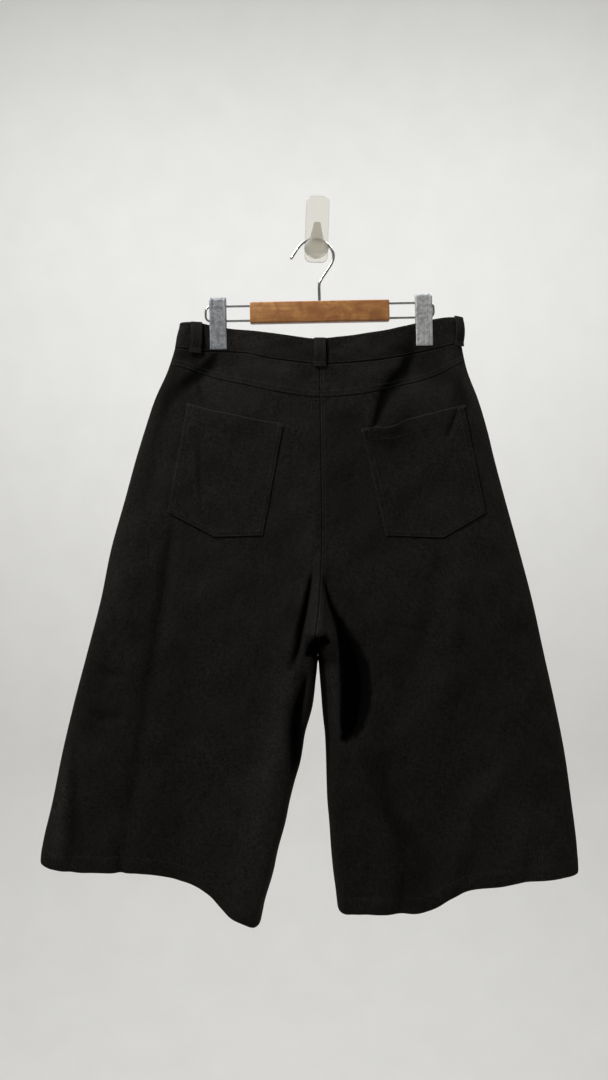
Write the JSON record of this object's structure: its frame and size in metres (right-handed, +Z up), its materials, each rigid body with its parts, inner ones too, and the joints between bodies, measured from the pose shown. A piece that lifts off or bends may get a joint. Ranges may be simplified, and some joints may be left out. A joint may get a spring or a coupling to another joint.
{
  "type": "culottes on a clip hanger and wall hook",
  "caption": "Wide cropped twill trousers hung flat, back outwards, by the waistband from a wooden clip hanger on a clear adhesive wall hook.",
  "frame": {"origin": "middle of the wall hook's plate, on its back face, which lies on the wall", "axes": "+Y into the wall, so the back of the culottes faces -Y; +Z up; +X to the right as seen from the room"},
  "size_m": [0.7251, 0.0776, 0.9906],
  "materials": {
    "twill": "matt black cotton twill",
    "button": "black moulded button",
    "wood": "varnished beech",
    "steel": "bright plated wire",
    "zinc": "galvanised sheet, dull grey",
    "plastic": "clear moulded plastic, slightly yellowed"
  },
  "bodies": {
    "root": {"back_leg_left": "twill", "back_leg_right": "twill", "front_leg_left": "twill", "front_leg_right": "twill", "yoke_left": "twill", "yoke_right": "twill", "waistband": "twill", "pocket_left": "twill", "pocket_right": "twill", "fly": "twill", "belt_loop_back": "twill", "belt_loop_side_left": "twill", "belt_loop_side_right": "twill", "belt_loop_front_left": "twill", "belt_loop_front_right": "twill", "waist_button": "button", "hanger_bar": "wood", "hanger_hook": "steel", "rail_left": "steel", "rail_right": "steel", "clip_left_front_jaw": "zinc", "clip_left_back_jaw": "zinc", "clip_left_spring": "steel", "clip_right_front_jaw": "zinc", "clip_right_back_jaw": "zinc", "clip_right_spring": "steel", "wall_hook_plate": "plastic", "wall_hook_arm": "plastic"}
  },
  "joints": []
}
